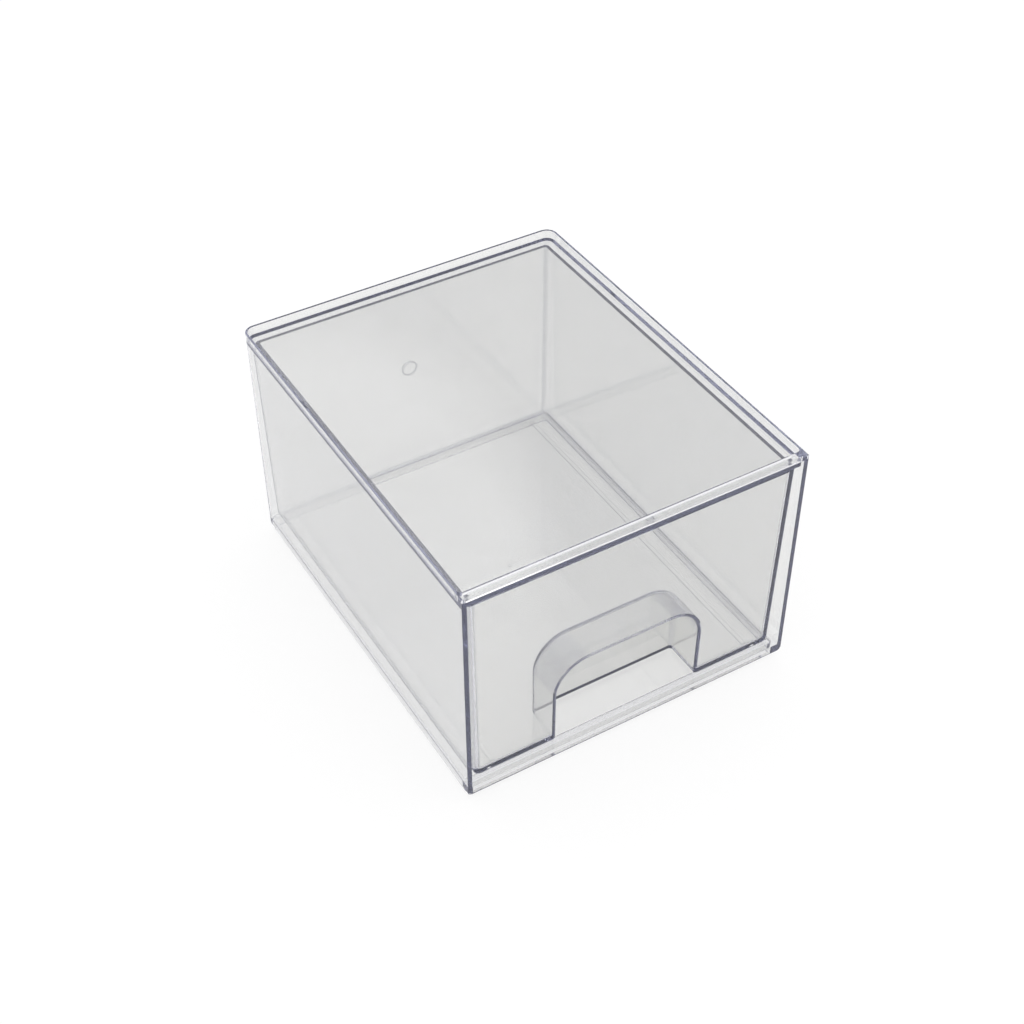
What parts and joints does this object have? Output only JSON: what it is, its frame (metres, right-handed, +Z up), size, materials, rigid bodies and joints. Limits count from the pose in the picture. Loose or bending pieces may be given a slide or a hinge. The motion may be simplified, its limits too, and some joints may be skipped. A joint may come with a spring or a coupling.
{
  "type": "stackable drawer box",
  "caption": "Clear stackable drawer box: an open-fronted case with a stacking rim and a sliding drawer with a finger pocket.",
  "frame": {"origin": "middle of the footprint, on the table that the box stands on", "axes": "+Z up, +Y from the drawer front to the back wall, +X to the right of someone who faces the drawer; the drawer opens towards -Y"},
  "size_m": [0.24, 0.295, 0.1755],
  "materials": {
    "clear_case": "polished clear moulded plastic, faintly blue-grey at the edges",
    "clear_drawer": "polished clear moulded plastic, faintly blue-grey at the edges"
  },
  "bodies": {
    "case": {"outer_case": "clear_case"},
    "drawer": {"drawer": "clear_drawer"}
  },
  "joints": [
    {"name": "drawer_slide", "type": "slide", "parent": "case", "child": "drawer", "axis": [0, -1, 0], "range_m": [0, 0.24]}
  ]
}
